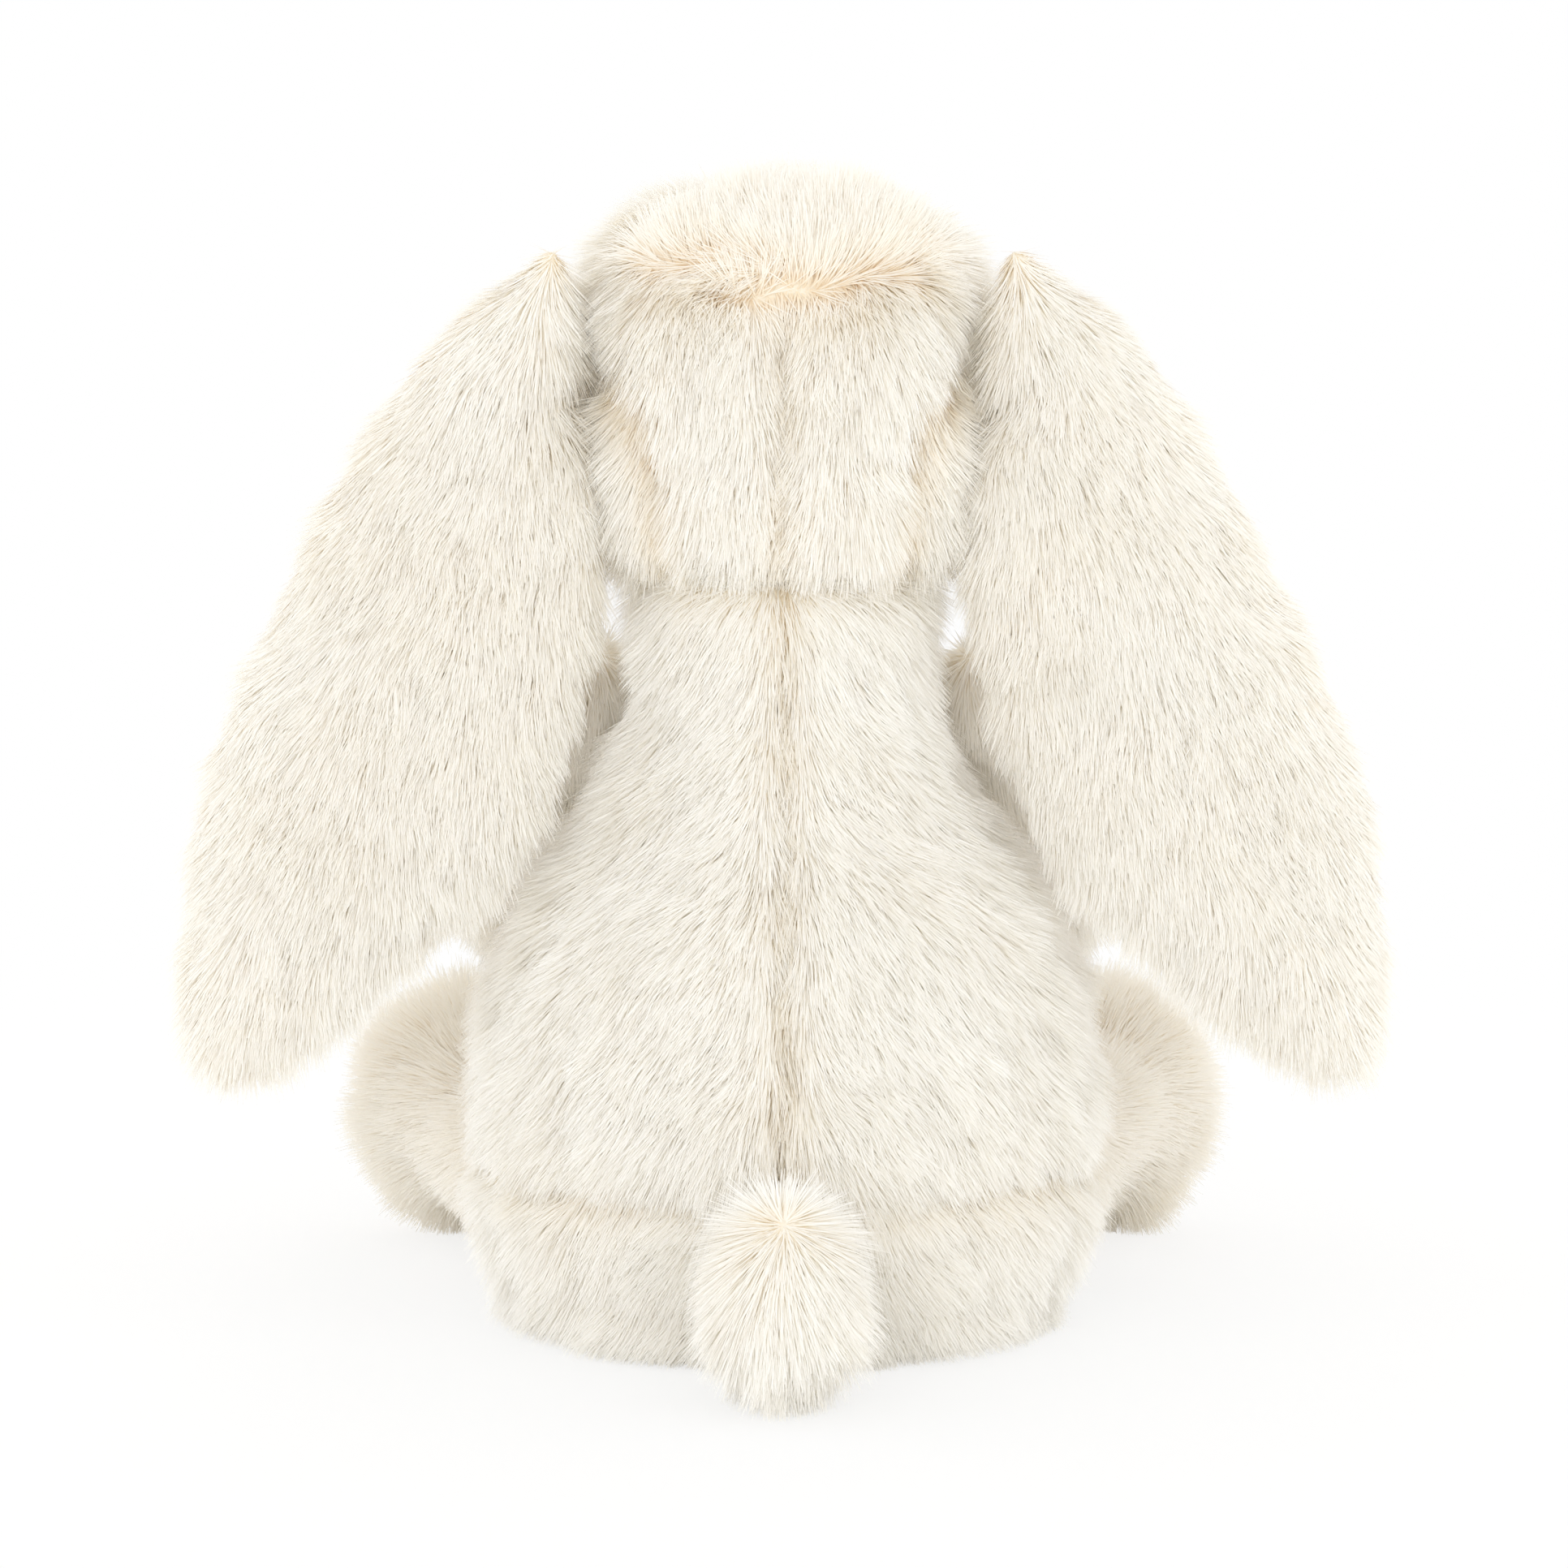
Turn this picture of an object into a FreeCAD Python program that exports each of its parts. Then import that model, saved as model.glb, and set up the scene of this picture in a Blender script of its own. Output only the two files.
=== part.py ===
# A sitting lop-eared plush rabbit, in millimetres. It faces -Y, its left side is +X,
# and the origin is the middle of the flat seat that it rests on.
import FreeCAD, Part
import math
import os

from FreeCAD import Vector

os.makedirs("parts", exist_ok=True)

# Cloth and fits
skinThickness = 5.0        # knitted backing with its pile pressed flat
softGap = 0.3              # between any two soft pieces that face each other
restGap = 0.2              # a limb's underside above the floor

# Torso, from the flat seat up to the neck
baseHalfWidth = 46.0
baseHalfDepth = 41.0
seatHalfWidth = 60.0
seatHalfDepth = 50.5
seatHeight = 28.0          # where the torso is widest
neckHalfWidth = 31.0
neckHalfDepth = 28.5
neckHeight = 146.0         # centre of the neck joint
neckSlot = 4.5             # half the gap between torso and head at the neck
neckBallRadius = 24.5
seatSeamRear = 34.0        # height of the seat panel's seam behind and in front
seatSeamFront = 6.0
pouchRadius = 30.0
pouchHalfHeight = 12.0
pouchWall = 1.2

# Head
headHalfWidth = 39.5
headHalfDepth = 42.0
headHeight = 74.0          # neck gap to crown
headMiddle = 34.0          # widest place above the neck joint
muzzleReach = 3.5          # how far the cheeks push the face forward
headForward = 5.0          # centre of the head in front of the neck joint
gussetHalfWidth = 15.0     # centre strip of the face
backSeamPlace = 6.0        # side and back panels meet here, behind the neck joint

# Eyes, nose and mouth
eyeRadius = 4.8
eyeHeight = 184.0
eyeTurn = 47.0             # degrees from straight ahead
eyeProud = 1.2
stemRadius = 1.6
washerRadius = 6.5
washerThickness = 1.2
noseHeight = 173.0
noseHalfWidth = 5.6
noseTall = 7.2
noseThickness = 3.0
threadRadius = 0.7
mouthDrop = 5.5
mouthHalfWidth = 5.0

# Ears: a rounded lens at the root, then stations down the hanging ear
earRootRadius = 15.5
earRootThickness = 14.0
earRootHeight = 43.5       # above the neck joint
earRootProud = 3.5         # root centre outside the side of the head
earRowsFrom = 36.7         # side of the head that the ear stations start from
earRootBack = 8.0
earLean = 0.075            # backward drift per millimetre of fall
earBodyGap = 2.6           # between the ear's inner edge and the torso
earRelief = 0.6            # between the ear and the head beside its root
earCore = 5.0              # thickness of the wadding inside the ear
earLength = 1.0            # multiplies the fall of every station
earBreadth = 1.0           # multiplies the width of every station

# Arms
armRootRadius = 12.5
armNeckRadius = 10.5
pawRadius = 14.8
shoulderHeight = 119.5
shoulderTurn = 30.0        # degrees forward of the torso's side
shoulderProud = 7.8 * seatHalfWidth / 60
pawHeight = 77.0
pawTurn = 45.0
pawGap = 8.6 * seatHalfWidth / 60   # between paw and torso

# Legs
legRootRadius = 19.5
legNeckRadius = 16.0
hipHeight = 21.0
hipTurn = 41.0
hipProud = 6.0
legLength = 43.0
legSplay = 27.0            # degrees outward of straight ahead
footHalfLength = 17.0
footHalfWidth = 23.0
footHalfHeight = 28.5
solePlace = 8.0            # sole seam, from the middle of the foot

# Tail
tailRootRadius = 11.0
tailNeckRadius = 9.0
tailHeight = 22.0
tailProud = 1.5
tailHalfWidth = 17.5
tailHalfLength = 19.0
tailHalfHeight = 21.0

ringPoints = 16
farAway = 500.0
neckPoint = Vector(0, 0, neckHeight)
up = Vector(0, 0, 1)

# Torso stations: height from seat to neck as a share, then how far the shape has gone
# from seat size to neck size in width and in depth, and how far its centre sits back.
torsoRows = [
    (0.00, 0.00, 0.00, 0.0),
    (0.19, 0.00, 0.02, 0.0),
    (0.38, 0.14, 0.22, 1.5),
    (0.51, 0.35, 0.50, 4.0),
    (0.635, 0.65, 0.80, 5.5),
    (0.78, 0.86, 0.98, 5.0),
    (0.90, 0.965, 1.0, 3.0),
    (1.02, 1.00, 1.00, 1.0),
]
baseRows = [(0.00, 0.00), (0.17, 0.42), (0.50, 0.78)]

# Ear stations: fall below the root, distance from the middle plane of the rabbit,
# half breadth, tilt of the section and thickness. The first lies inside the root.
earRows = [
    (0.0, 38.2, 14.2, 80.0, 12.0),
    (11.5, 51.5, 18.5, 50.0, 14.0),
    (30.0, 60.3, 23.8, 28.0, 15.0),
    (50.0, 65.6, 27.4, 19.0, 16.0),
    (72.0, 71.6, 30.4, 15.0, 16.0),
    (92.0, 77.9, 29.4, 18.0, 16.0),
    (111.0, 85.7, 24.0, 23.0, 15.0),
    (126.0, 94.4, 16.8, 27.0, 13.5),
    (136.5, 100.4, 9.6, 31.0, 10.5),
    (141.5, 103.2, 5.2, 33.0, 7.0),
]


def torsoStations():
    """Height, half width, half depth and centre of each torso section."""
    stations = []
    for share, grown in baseRows:
        width = baseHalfWidth + grown * (seatHalfWidth - baseHalfWidth)
        depth = baseHalfDepth + grown * (seatHalfDepth - baseHalfDepth)
        stations.append((share * seatHeight, width, depth, 0.0))
    for share, inWidth, inDepth, back in torsoRows:
        height = seatHeight + share * (neckHeight - seatHeight)
        width = seatHalfWidth + inWidth * (neckHalfWidth - seatHalfWidth)
        depth = seatHalfDepth + inDepth * (neckHalfDepth - seatHalfDepth)
        stations.append((height, width, depth, back))
    return stations


def torsoAt(height):
    """Half width, half depth and centre of the torso at one height."""
    stations = torsoStations()
    for low, high in zip(stations, stations[1:]):
        if low[0] <= height <= high[0]:
            share = (height - low[0]) / (high[0] - low[0])
            return [low[i] + share * (high[i] - low[i]) for i in (1, 2, 3)]
    return list(stations[-1][1:])


def torsoAbove(height):
    """The torso stations from one height upwards."""
    rest = [station for station in torsoStations() if station[0] > height + skinThickness / 2]
    return [tuple([height] + torsoAt(height))] + rest


def torsoSide(height, turn, outside):
    """A point outside the torso's side, turned forward from +X by an angle."""
    width, depth, back = torsoAt(height)
    angle = math.radians(turn)
    reach = 1.0 / math.hypot(math.cos(angle) / width, math.sin(angle) / depth)
    reach += outside
    return Vector(reach * math.cos(angle), back - reach * math.sin(angle), height)


def headStations():
    """Height, half width, half depth and centre of each head section."""
    middle = neckHeight + headMiddle
    floor = neckHeight + neckSlot
    top = floor + headHeight - neckSlot
    stations = []
    for share, width, depth, push in [
        (0.00, 0.85, 0.80, 0.0),
        (0.18, 0.92, 0.90, 0.5),
        (0.42, 0.975, 0.97, 1.0),
        (0.72, 1.00, 1.00, 1.0),
        (1.00, 1.00, 1.00, 0.4),
    ]:
        height = floor + share * (middle - floor)
        stations.append((height, width, depth, push))
    for turn in (18, 34, 48, 60, 70, 78, 84):
        angle = math.radians(turn)
        size = math.cos(angle) ** 0.86
        height = middle + (top - middle) * math.sin(angle)
        stations.append((height, size, size, 0.4 * math.cos(angle)))
    found = []
    for height, width, depth, push in stations:
        forward = headForward + push * muzzleReach / 2
        deep = headHalfDepth * depth + push * muzzleReach / 2
        found.append((height, headHalfWidth * width, deep, -forward))
    return found


def headAt(height):
    """Half width, half depth and centre of the head at one height."""
    stations = headStations()
    for low, high in zip(stations, stations[1:]):
        if low[0] <= height <= high[0]:
            share = (height - low[0]) / (high[0] - low[0])
            return [low[i] + share * (high[i] - low[i]) for i in (1, 2, 3)]
    return list(stations[-1][1:])


def ring(centre, halfU, halfV, uAxis, vAxis):
    """A closed smooth oval."""
    points = []
    for step in range(ringPoints):
        angle = 2 * math.pi * step / ringPoints
        points.append(centre + uAxis * (halfU * math.cos(angle)) + vAxis * (halfV * math.sin(angle)))
    curve = Part.BSplineCurve()
    curve.interpolate(Points=points, PeriodicFlag=True)
    return Part.Wire([curve.toShape()])


def halfRing(centre, half, halfThick, across, side):
    """Half an oval, closed by a straight line along its long axis."""
    points = []
    for step in range(ringPoints // 2 + 1):
        angle = 2 * math.pi * step / ringPoints
        outward = Vector(0, side * halfThick * math.sin(angle), 0)
        points.append(centre + across * (half * math.cos(angle)) + outward)
    points[-1] = centre - across * half
    curve = Part.BSplineCurve()
    curve.interpolate(Points=points)
    return Part.Wire([curve.toShape(), Part.makeLine(points[-1], points[0])])


def lofted(stations, inset):
    """A solid through level ovals, all drawn in by the same inset."""
    wires = []
    for height, halfWidth, halfDepth, back in stations:
        centre = Vector(0, back, height)
        wires.append(ring(centre, halfWidth - inset, halfDepth - inset, Vector(1, 0, 0), Vector(0, 1, 0)))
    return Part.makeLoft(wires, True, False)


def beyond(point, normal):
    """Everything on one side of a plane."""
    return Part.makeCylinder(farAway, farAway, point, normal)


def ball(radius, centre):
    return Part.makeSphere(radius, centre)


def ellipsoid(centre, halfX, halfY, halfZ, turn=0.0):
    """A ball stretched three ways, then turned about the vertical."""
    shape = Part.makeSphere(1.0)
    stretch = FreeCAD.Matrix()
    stretch.scale(Vector(halfX, halfY, halfZ))
    shape = shape.transformGeometry(stretch)
    shape.rotate(Vector(0, 0, 0), up, turn)
    shape.translate(centre)
    return shape


def solidOf(shape):
    """The one solid of a shape, or the shape itself when it has several."""
    if len(shape.Solids) == 1:
        return shape.Solids[0]
    return Part.makeCompound(shape.Solids)


def mirrored(shape):
    return shape.mirror(Vector(0, 0, 0), Vector(1, 0, 0))


def save(name, shape):
    shape = solidOf(shape)
    shape.exportStep("parts/%s.step" % name)
    print("%-24s %2d solid  %9.0f mm3  valid %s" % (name, len(shape.Solids), shape.Volume, shape.isValid()))


def saveBothSides(name, leftShape):
    save(name + "_left", leftShape)
    save(name + "_right", mirrored(leftShape))


# Limb geometry that the sockets share

def shoulderPoint():
    return torsoSide(shoulderHeight, shoulderTurn, shoulderProud)


def pawPoint():
    return torsoSide(pawHeight, pawTurn, pawGap + pawRadius)


def hipPoint():
    return torsoSide(hipHeight, hipTurn, hipProud)


def legDirection():
    angle = math.radians(legSplay)
    return Vector(math.sin(angle), -math.cos(angle), 0)


def footPoint():
    foot = hipPoint() + legDirection() * legLength
    return Vector(foot.x, foot.y, footHalfHeight + restGap)


def tailPoint():
    width, depth, back = torsoAt(tailHeight)
    return Vector(0, back + depth + tailProud, tailHeight)


def earRootPoint():
    height = neckHeight + earRootHeight
    width, depth, centre = headAt(height)
    share = (earRootBack - centre) / depth
    side = width * math.sqrt(max(0.0, 1 - share * share))
    return Vector(side + earRootProud, earRootBack, height)


def sockets(extra):
    """The hollows in the torso where neck, arms, legs and tail are held."""
    shapes = [ball(neckBallRadius + extra, neckPoint)]
    for radius, point in ((armRootRadius, shoulderPoint()), (legRootRadius, hipPoint())):
        shapes.append(ball(radius + extra, point))
        shapes.append(ball(radius + extra, Vector(-point.x, point.y, point.z)))
    shapes.append(ball(tailRootRadius + extra, tailPoint()))
    return shapes


def torso():
    stations = torsoStations()
    neckCut = beyond(neckPoint - up * neckSlot, up)
    envelope = lofted(stations, 0)
    hollow = lofted(torsoAbove(skinThickness), skinThickness)
    skin = envelope.cut([hollow, neckCut] + sockets(softGap))

    slope = math.atan2(seatSeamRear - seatSeamFront, 2 * seatHalfDepth)
    seamPoint = Vector(0, 0, (seatSeamRear + seatSeamFront) / 2)
    seamNormal = Vector(0, -math.sin(slope), math.cos(slope))
    above = beyond(seamPoint, seamNormal)
    behind = beyond(Vector(0, 0, neckHeight / 2), Vector(0, 1, 0))
    leftSide = beyond(Vector(0, 0, neckHeight / 2), Vector(1, 0, 0))
    upper = skin.common(above)
    back = upper.common(behind)
    save("torso_back_left", back.common(leftSide))
    save("torso_back_right", back.cut(leftSide))
    save("torso_belly", upper.cut(behind))
    save("torso_seat", skin.cut(above))

    filling = lofted(torsoAbove(skinThickness + softGap), skinThickness + softGap)
    filling = filling.cut(beyond(neckPoint - up * (neckSlot + 2 * skinThickness), up))
    pouchCentre = Vector(0, 0, skinThickness + 3 * softGap + pouchHalfHeight + 2.0)
    nest = ellipsoid(pouchCentre, pouchRadius + softGap, pouchRadius + softGap, pouchHalfHeight + softGap)
    save("torso_stuffing", filling.cut([nest] + sockets(softGap)))

    bag = ellipsoid(pouchCentre, pouchRadius, pouchRadius, pouchHalfHeight)
    innerRadius = pouchRadius - pouchWall
    innerHeight = pouchHalfHeight - pouchWall
    save("bean_pouch", bag.cut(ellipsoid(pouchCentre, innerRadius, innerRadius, innerHeight)))
    innerRadius -= softGap
    innerHeight -= softGap
    save("bean_pellets", ellipsoid(pouchCentre, innerRadius, innerRadius, innerHeight))


def neck():
    save("neck_stuffing", ball(neckBallRadius, neckPoint))


def earRootLens(extra):
    """The tucked root, a lens about the hinge line that turns freely in its socket."""
    radius = earRootRadius + extra
    thick = earRootThickness / 2 + extra
    return ellipsoid(earRootPoint(), radius, thick, radius)


def earShift():
    """How far out the ear hangs so that it clears the side of the torso."""
    root = earRootPoint()
    need = 0.0
    for fall, place, half, tilt, thickness in earRows:
        height = root.z - fall * earLength
        inner = place - half * earBreadth / math.cos(math.radians(tilt))
        if height < neckHeight:
            need = max(need, torsoAt(height)[0] + earBodyGap - inner)
    return need


def between(rows, steps):
    """The same stations with more of them along a smooth curve."""
    found = []
    for i in range(len(rows) - 1):
        before, low, high = rows[max(i - 1, 0)], rows[i], rows[i + 1]
        after = rows[min(i + 2, len(rows) - 1)]
        for step in range(steps):
            t = step / steps
            found.append(tuple(
                b + t * ((c - a) / 2 + t * ((a - 2.5 * b + 2 * c - d / 2) + t * (1.5 * (b - c) + (d - a) / 2)))
                for a, b, c, d in zip(before, low, high, after)
            ))
    return found + [rows[-1]]


def earBlank(inset, thin=None, side=0):
    """The hanging part of the left ear, drawn in by an inset. Side picks one face of it."""
    root = earRootPoint()
    outward = root.x - earRootProud - earRowsFrom
    rows = earRows if side else between(earRows, 2)
    wires = []
    for row, (fall, place, half, tilt, thickness) in enumerate(rows):
        place += outward + earShift() * min(1.0, 4.0 * row / len(rows))
        half = half * earBreadth - inset
        halfThick = thickness / 2 - inset if thin is None else thin / 2
        fall *= earLength
        back = earRootBack + max(0.0, fall - earRootRadius) * earLean
        centre = Vector(place, back, root.z - fall)
        angle = math.radians(tilt)
        across = Vector(math.cos(angle), 0, math.sin(angle))
        if side:
            wires.append(halfRing(centre, half, halfThick, across, side))
        elif half > 3.0 and row > 2:
            wires.append(ring(centre, halfThick, half, Vector(0, 1, 0), across))
    return Part.makeLoft(wires, True, side == 0)


def ear():
    headWall = lofted(headStations(), -earRelief)
    torsoWall = lofted(torsoStations(), -earRelief)
    nest = earBlank(skinThickness, earCore + 2 * softGap)
    for name, side in (("ear_back", 1), ("ear_lining", -1)):
        hanging = earBlank(0, None, side).cut([headWall, torsoWall, earRootLens(softGap)])
        saveBothSides(name, hanging.cut(nest))
    saveBothSides("ear_root", earRootLens(0))
    saveBothSides("ear_wadding", earBlank(skinThickness + softGap, earCore))


def eyeFrame(side):
    """Where an eye sits, and the way that it looks. Side is 1 on the left and -1 on the right."""
    width, depth, centre = headAt(eyeHeight)
    angle = math.radians(eyeTurn)
    point = Vector(side * width * math.sin(angle), centre - depth * math.cos(angle), eyeHeight)
    outward = Vector(side * math.sin(angle) / width, -math.cos(angle) / depth, 0)
    outward.normalize()
    return point, outward


def eyeParts(extra, side):
    """An eye with its stem, the washer that locks it, and the washer's hole."""
    point, outward = eyeFrame(side)
    middle = point + outward * (eyeProud - eyeRadius)
    dome = ball(eyeRadius + extra, middle).cut(beyond(middle, outward * -1))
    bulge = washerRadius ** 2 / (2 * (headHalfWidth - skinThickness - washerThickness))
    seat = skinThickness + bulge + 2 * softGap
    stemEnd = seat - (eyeRadius - eyeProud) + 2.2 * washerThickness
    stem = Part.makeCylinder(stemRadius + extra, stemEnd + 0.5, middle + outward * 0.5, outward * -1)
    flat = point - outward * (seat - extra)
    washer = Part.makeCylinder(washerRadius + extra, washerThickness + 2 * extra, flat, outward * -1)
    washerHole = Part.makeCylinder(stemRadius + softGap, 6 * washerThickness, flat + outward, outward * -1)
    return dome.fuse(stem), washer, washerHole


def noseSolid(extra):
    """A rounded triangle of stitched thread on the front of the face."""
    width, depth, centre = headAt(noseHeight)
    front = centre - depth
    half = noseHalfWidth + extra
    tall = noseTall + 2 * extra
    top = noseHeight + tall / 2
    start = Vector(-half, front - 1.0 - extra, top - 2)
    points = [
        start,
        Vector(-half * 0.6, start.y, top),
        Vector(half * 0.6, start.y, top),
        Vector(half, start.y, top - 2),
        Vector(0.9 + extra, start.y, top - tall),
        Vector(-0.9 - extra, start.y, top - tall),
    ]
    face = Part.Face(Part.makePolygon(points + [points[0]]))
    return face.extrude(Vector(0, noseThickness + 2 * extra, 0))


def mouthSolid():
    """One stitch down from the nose and one to each side."""
    width, depth, centre = headAt(noseHeight - noseTall)
    front = centre - depth
    top = noseHeight - noseTall / 2 - softGap
    low = Vector(0, front - threadRadius * 0.2, top - mouthDrop)
    stitches = [Part.makeCylinder(threadRadius, mouthDrop, low, up)]
    for side in (-1, 1):
        end = Vector(side * mouthHalfWidth, front + 0.6, low.z - 1.8)
        stitches.append(Part.makeCylinder(threadRadius, (end - low).Length, low, end - low))
        stitches.append(ball(threadRadius, end))
    stitches.append(ball(threadRadius, low))
    return stitches[0].fuse(stitches[1:])


def head():
    stations = headStations()
    hollows = [ball(neckBallRadius + softGap, neckPoint)]
    lens = earRootLens(softGap)
    hollows += [lens, mirrored(lens)]
    envelope = lofted(stations, 0)
    hollow = lofted(stations[:-2], skinThickness)
    crown = beyond(Vector(0, 0, neckHeight + headHeight - skinThickness), up)
    domeRoom = []
    washerRoom = []
    for side, word in ((1, "left"), (-1, "right")):
        dome, washer, washerHole = eyeParts(0, side)
        save("eye_" + word, dome)
        save("eye_washer_" + word, washer.cut(washerHole))
        wideDome, wideWasher, unused = eyeParts(softGap, side)
        domeRoom.append(wideDome)
        washerRoom.append(wideWasher)
    features = domeRoom + [noseSolid(softGap)]
    mouth = mouthSolid()
    skin = envelope.cut([hollow.cut(crown)] + hollows + features)
    skin = skin.cut(mouth)

    behind = beyond(Vector(0, backSeamPlace, neckHeight), Vector(0, 1, 0))
    leftSide = beyond(Vector(0, 0, neckHeight), Vector(1, 0, 0))
    leftCheek = beyond(Vector(gussetHalfWidth, 0, neckHeight), Vector(1, 0, 0))
    rightCheek = beyond(Vector(-gussetHalfWidth, 0, neckHeight), Vector(-1, 0, 0))
    back = skin.common(behind)
    front = skin.cut(behind)
    save("head_back_left", back.common(leftSide))
    save("head_back_right", back.cut(leftSide))
    save("head_cheek_left", front.common(leftCheek))
    save("head_cheek_right", front.common(rightCheek))
    save("head_face", front.cut([leftCheek, rightCheek]))

    filling = lofted(stations[:-2], skinThickness + softGap)
    filling = filling.cut([
        beyond(Vector(0, 0, neckHeight + headHeight - skinThickness - softGap), up),
    ] + washerRoom + domeRoom)
    save("head_stuffing", filling.cut(hollows))
    save("nose", noseSolid(0))
    save("mouth", mouth)


def limb(start, rootRadius, neckRadius, end, endRadius, inset):
    """A ball, a tapering shaft and a rounded end, all drawn in by an inset."""
    axis = end - start
    root = ball(rootRadius - inset, start)
    shaft = Part.makeCone(neckRadius - inset, (endRadius - inset) * 0.97, axis.Length, start, axis)
    return root.fuse([shaft, ball(endRadius - inset, end)])


def arm():
    start = shoulderPoint()
    end = pawPoint()
    outer = limb(start, armRootRadius, armNeckRadius, end, pawRadius, 0)
    inner = limb(start, armRootRadius, armNeckRadius, end, pawRadius, skinThickness)
    shell = outer.cut(inner)
    sideways = (end - start).cross(up)
    outside = beyond(start, sideways)
    if sideways.x < 0:
        outside = beyond(start, sideways * -1)
    saveBothSides("arm_outer", shell.common(outside))
    saveBothSides("arm_inner", shell.cut(outside))
    saveBothSides("arm_stuffing", limb(start, armRootRadius, armNeckRadius, end, pawRadius, skinThickness + softGap))


def legSolid(inset):
    start = hipPoint()
    foot = footPoint()
    axis = foot - start
    root = ball(legRootRadius - inset, start)
    shaft = Part.makeCone(legNeckRadius - inset, footHalfWidth * 0.9 - inset, axis.Length, start, axis)
    toe = ellipsoid(foot, footHalfWidth - inset, footHalfLength - inset, footHalfHeight - inset, legSplay)
    return root.fuse([shaft, toe])


def leg():
    shell = legSolid(0).cut(legSolid(skinThickness))
    direction = legDirection()
    soleSide = beyond(footPoint() + direction * solePlace, direction)
    sideways = direction.cross(up)
    outside = beyond(hipPoint(), sideways if sideways.x > 0 else sideways * -1)
    upper = shell.cut(soleSide)
    saveBothSides("leg_outer", upper.common(outside))
    saveBothSides("leg_inner", upper.cut(outside))
    saveBothSides("foot_sole", shell.common(soleSide))
    saveBothSides("leg_stuffing", legSolid(skinThickness + softGap))


def tailSolid(inset):
    start = tailPoint()
    centre = Vector(0, start.y + tailHalfLength + tailProud, max(tailHeight, tailHalfHeight + restGap))
    root = ball(tailRootRadius - inset, start)
    shaft = Part.makeCone(tailNeckRadius - inset, tailHalfWidth * 0.8 - inset, (centre - start).Length, start, centre - start)
    return root.fuse([shaft, ellipsoid(centre, tailHalfWidth - inset, tailHalfLength - inset, tailHalfHeight - inset)])


def tail():
    shell = tailSolid(0).cut(tailSolid(skinThickness))
    leftSide = beyond(tailPoint(), Vector(1, 0, 0))
    saveBothSides("tail_half", shell.common(leftSide))
    save("tail_stuffing", tailSolid(skinThickness + softGap))


torso()
neck()
head()
ear()
arm()
leg()
tail()
shoulder, paw, hip, foot = shoulderPoint(), pawPoint(), hipPoint(), footPoint()
for name, point in (("neck", neckPoint), ("shoulder", shoulder), ("paw", paw), ("hip", hip), ("foot", foot),
                    ("tail", tailPoint()), ("ear", earRootPoint())):
    print("%-10s %7.2f %7.2f %7.2f" % (name, point.x, point.y, point.z))
print("ear shift %.2f" % earShift())
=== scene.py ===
import math

import bmesh
import bpy
import numpy as np
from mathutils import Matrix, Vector


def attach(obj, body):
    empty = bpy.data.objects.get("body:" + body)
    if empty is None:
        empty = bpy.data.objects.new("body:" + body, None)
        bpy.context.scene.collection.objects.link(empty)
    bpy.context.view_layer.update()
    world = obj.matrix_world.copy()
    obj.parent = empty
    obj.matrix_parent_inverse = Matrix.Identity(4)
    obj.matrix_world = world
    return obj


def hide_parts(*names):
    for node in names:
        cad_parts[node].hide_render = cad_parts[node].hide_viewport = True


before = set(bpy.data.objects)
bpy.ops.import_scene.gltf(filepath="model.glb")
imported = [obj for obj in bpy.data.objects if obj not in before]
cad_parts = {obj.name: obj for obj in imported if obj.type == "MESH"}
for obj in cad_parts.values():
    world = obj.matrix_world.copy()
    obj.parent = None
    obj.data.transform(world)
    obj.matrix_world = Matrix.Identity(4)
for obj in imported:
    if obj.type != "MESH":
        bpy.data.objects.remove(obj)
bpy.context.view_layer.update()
mm = 0.001
print("frame loaded")


# camera and light

view = {"around": 180.0, "above": 9.5, "far": 1.5, "across": 0.297, "target": (0.0, 0.0, 0.1035)}
light = {"sky": 1.03, "skyColour": (1.0, 0.995, 0.985, 1.0), "aim": (0.0, 0.0, 0.1)}
lamps = {
    "keyLamp": {"place": (0.35, 1.45, 0.55), "size": 0.9, "power": 2.7},
    "fillLamp": {"place": (-1.1, 0.8, 0.35), "size": 1.0, "power": 1.4},
    "faceLamp": {"place": (-0.3, -1.45, 0.6), "size": 1.1, "power": 2.43},
    "sideLamp": {"place": (1.2, -0.6, 0.4), "size": 1.0, "power": 1.4},
}


def makeCamera():
    around, above = math.radians(view["around"]), math.radians(view["above"])
    out = Vector((math.sin(around), -math.cos(around), 0)) * math.cos(above)
    out.z = math.sin(above)
    data = bpy.data.cameras.new("camera")
    data.angle = 2 * math.atan(view["across"] / 2 / view["far"])
    cam = bpy.data.objects.new("camera", data)
    cam.location = Vector(view["target"]) + out * view["far"]
    cam.rotation_euler = (-out).to_track_quat("-Z", "Y").to_euler()
    bpy.context.scene.collection.objects.link(cam)
    bpy.context.scene.camera = cam


def makeLamp(name, place, size, power):
    data = bpy.data.lights.new(name, "AREA")
    data.shape, data.size, data.energy = "DISK", size, power
    lamp = bpy.data.objects.new(name, data)
    lamp.location = place
    lamp.rotation_euler = (Vector(light["aim"]) - Vector(place)).to_track_quat("-Z", "Y").to_euler()
    bpy.context.scene.collection.objects.link(lamp)


makeCamera()
for name, lamp in lamps.items():
    makeLamp(name, **lamp)
bpy.context.scene.view_settings.view_transform = "Standard"


# node trees: a wire is a socket that takes sums and products

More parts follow.
